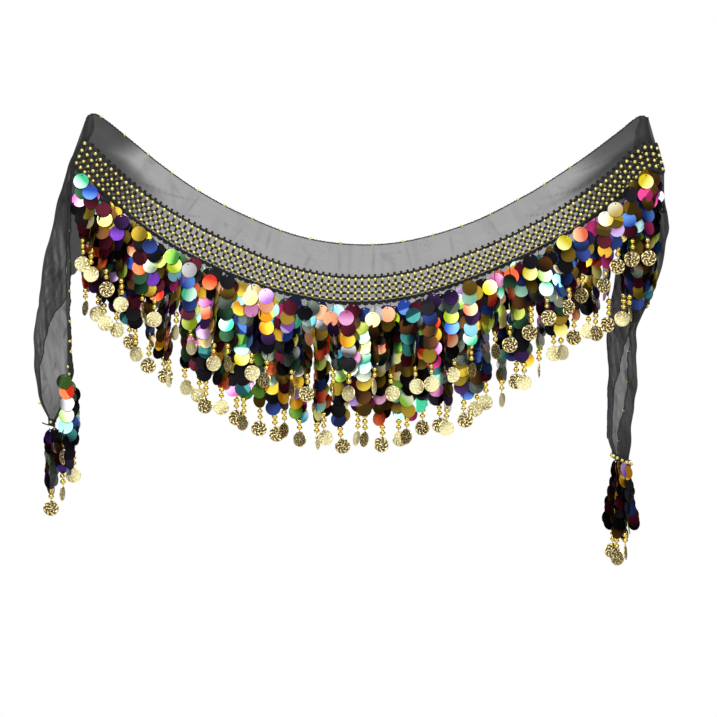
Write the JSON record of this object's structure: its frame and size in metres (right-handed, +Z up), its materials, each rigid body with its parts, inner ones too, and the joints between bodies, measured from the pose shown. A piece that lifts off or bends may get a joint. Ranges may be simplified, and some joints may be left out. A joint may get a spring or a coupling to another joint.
{
  "type": "belly dance hip scarf",
  "caption": "Sheer black hip scarf with a crocheted net of gilt beads and a two-tier fringe of paillettes and coins, hanging in a sag between two grips with both ends folded back as tails.",
  "frame": {"origin": "the point of the cloth that the hand on the viewer's left pinches, in the middle of its wall", "axes": "+Z up, the front with its fringe faces -Y, +X runs from the left grip to the right grip"},
  "size_m": [0.8276, 0.0782, 0.5875],
  "materials": {
    "chiffon": "sheer matte weave, see-through where it is one layer",
    "crochet": "black twisted thread",
    "gilt": "bright gilt, worn darker in the hollows",
    "paillette": "clear-coated coloured film in many hues, iridescent"
  },
  "bodies": {
    "root": {"bead_net": "crochet", "bead_net_return": "crochet", "chiffon_front": "chiffon", "chiffon_left_tail": "chiffon", "chiffon_right_tail": "chiffon", "fringe_long_1": "paillette", "fringe_long_2": "paillette", "fringe_long_3": "paillette", "fringe_long_4": "paillette", "fringe_long_5": "paillette", "fringe_long_6": "paillette", "fringe_return": "paillette", "fringe_short_1": "paillette", "fringe_short_2": "paillette", "fringe_short_3": "paillette", "fringe_short_4": "paillette", "fringe_short_5": "paillette", "fringe_short_6": "paillette", "left_hem_tassel": "paillette", "left_tail_hem": "crochet", "left_tip_knot": "crochet", "left_tip_tassel": "paillette", "right_tail_hem": "crochet", "right_tip_band": "gilt", "right_tip_tassel": "paillette", "top_hem": "crochet"}
  },
  "joints": []
}
